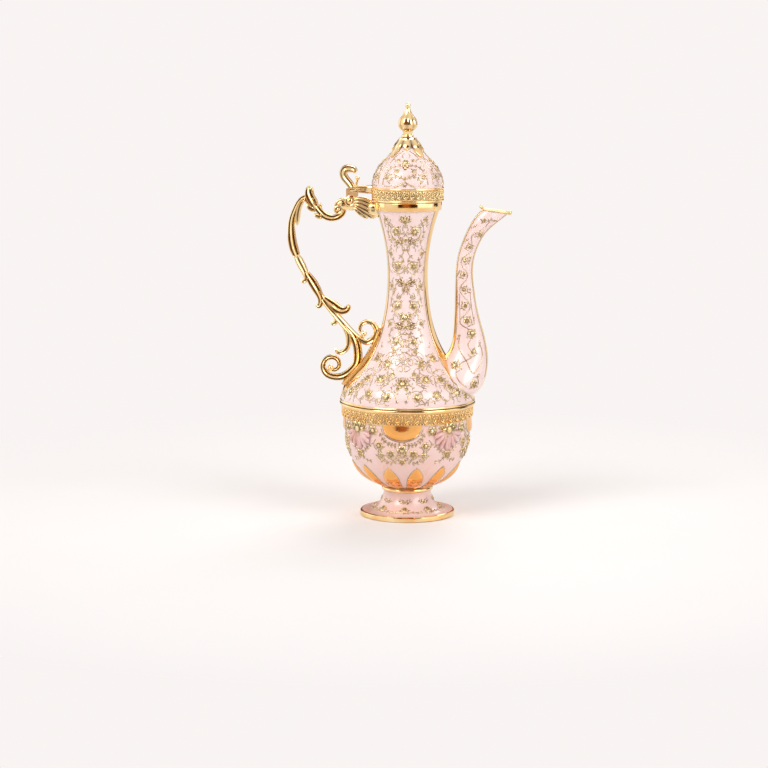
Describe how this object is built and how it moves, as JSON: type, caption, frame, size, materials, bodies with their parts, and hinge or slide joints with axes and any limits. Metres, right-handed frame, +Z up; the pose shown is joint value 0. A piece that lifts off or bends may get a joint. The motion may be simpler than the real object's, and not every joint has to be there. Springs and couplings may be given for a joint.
{
  "type": "coffee pot",
  "caption": "Tall footed coffee pot with a bell body, slender neck, curved spout, scrolled cast handle and a domed lid that swings open on a pin.",
  "frame": {"origin": "centre of the foot on the plane it stands on", "axes": "+Z up along the pot's axis, +X towards the spout, -X towards the handle, -Y towards the viewer of the picture"},
  "size_m": [0.1465, 0.0892, 0.27],
  "materials": {
    "pink_enamel": "glossy pale pink enamel with gilt floral scrolls",
    "turned_gold": "mirror-polished gilding on turned pieces",
    "chased_gold": "gilding over a chased leaf pattern",
    "cast_gold": "polished gilding on castings",
    "steel": "plain steel",
    "crystal": "faceted clear stones"
  },
  "bodies": {
    "pot": {"base_plate": "turned_gold", "foot": "pink_enamel", "stem_knop": "turned_gold", "lower_bowl": "pink_enamel", "waist_band": "chased_gold", "waist_bead": "turned_gold", "upper_body": "pink_enamel", "neck_collar": "turned_gold", "spout": "pink_enamel", "spout_lip": "cast_gold", "handle": "cast_gold", "handle_saddle": "cast_gold", "hinge_bracket": "cast_gold", "hinge_pin": "turned_gold", "crystals": "crystal"},
    "lid": {"lid_arm": "cast_gold", "lid_band": "chased_gold", "lid_plug": "turned_gold", "lid_dome": "pink_enamel", "finial_cap": "cast_gold", "finial_ring": "turned_gold", "finial": "cast_gold", "finial_screw": "steel", "finial_washer": "steel"}
  },
  "joints": [
    {"name": "lid_hinge", "type": "hinge", "parent": "pot", "child": "lid", "pos_m": [-0.0374, 0, 0.2064], "axis": [0, -1, 0], "range_deg": [0, 70]}
  ]
}
